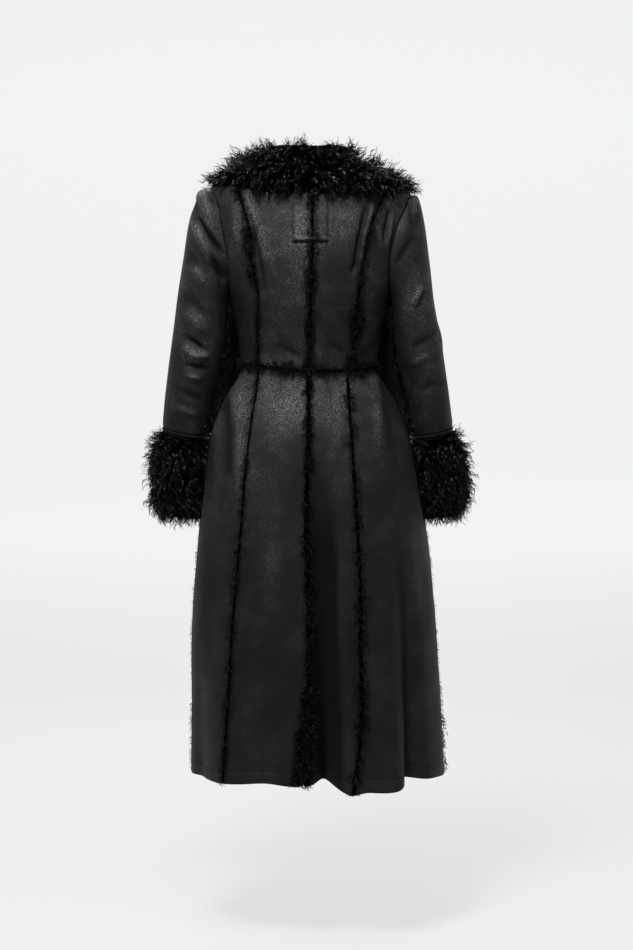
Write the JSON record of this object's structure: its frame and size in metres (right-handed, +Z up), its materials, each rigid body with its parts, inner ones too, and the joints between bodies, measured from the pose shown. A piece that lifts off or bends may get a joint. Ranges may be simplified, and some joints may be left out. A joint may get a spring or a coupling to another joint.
{
  "type": "long coat",
  "caption": "Long fitted coat with a flared panelled skirt and back vent, a wide curly fur collar, deep fur cuffs and fur strips along the seams, in its hollow worn form.",
  "frame": {"origin": "middle of the neck opening, level with the points where the shoulder seams meet the neck", "axes": "+Z up along the wearer, +Y to the wearer's back, +X to the wearer's left"},
  "size_m": [0.6733, 0.3983, 1.2934],
  "materials": {
    "cloth": "matte brushed suede",
    "fur": "curly long pile"
  },
  "bodies": {
    "root": {"bodice_back_left": "cloth", "bodice_side_left": "cloth", "bodice_front_left": "cloth", "skirt_back_left": "cloth", "skirt_side_left": "cloth", "skirt_front_left": "cloth", "bodice_back_right": "cloth", "bodice_side_right": "cloth", "bodice_front_right": "cloth", "skirt_back_right": "cloth", "skirt_side_right": "cloth", "skirt_front_right": "cloth", "sleeve_left": "cloth", "sleeve_right": "cloth", "collar_fur": "fur", "cuff_fur_left": "fur", "cuff_fur_right": "fur", "trim_waist": "fur", "trim_bodice_centre_back": "fur", "trim_skirt_centre_back": "fur", "trim_bodice_side_back_left": "fur", "trim_skirt_side_back_left": "fur", "trim_side_left": "fur", "trim_front_left": "fur", "trim_sleeve_left": "fur", "trim_bodice_side_back_right": "fur", "trim_skirt_side_back_right": "fur", "trim_side_right": "fur", "trim_front_right": "fur", "trim_sleeve_right": "fur"}
  },
  "joints": []
}
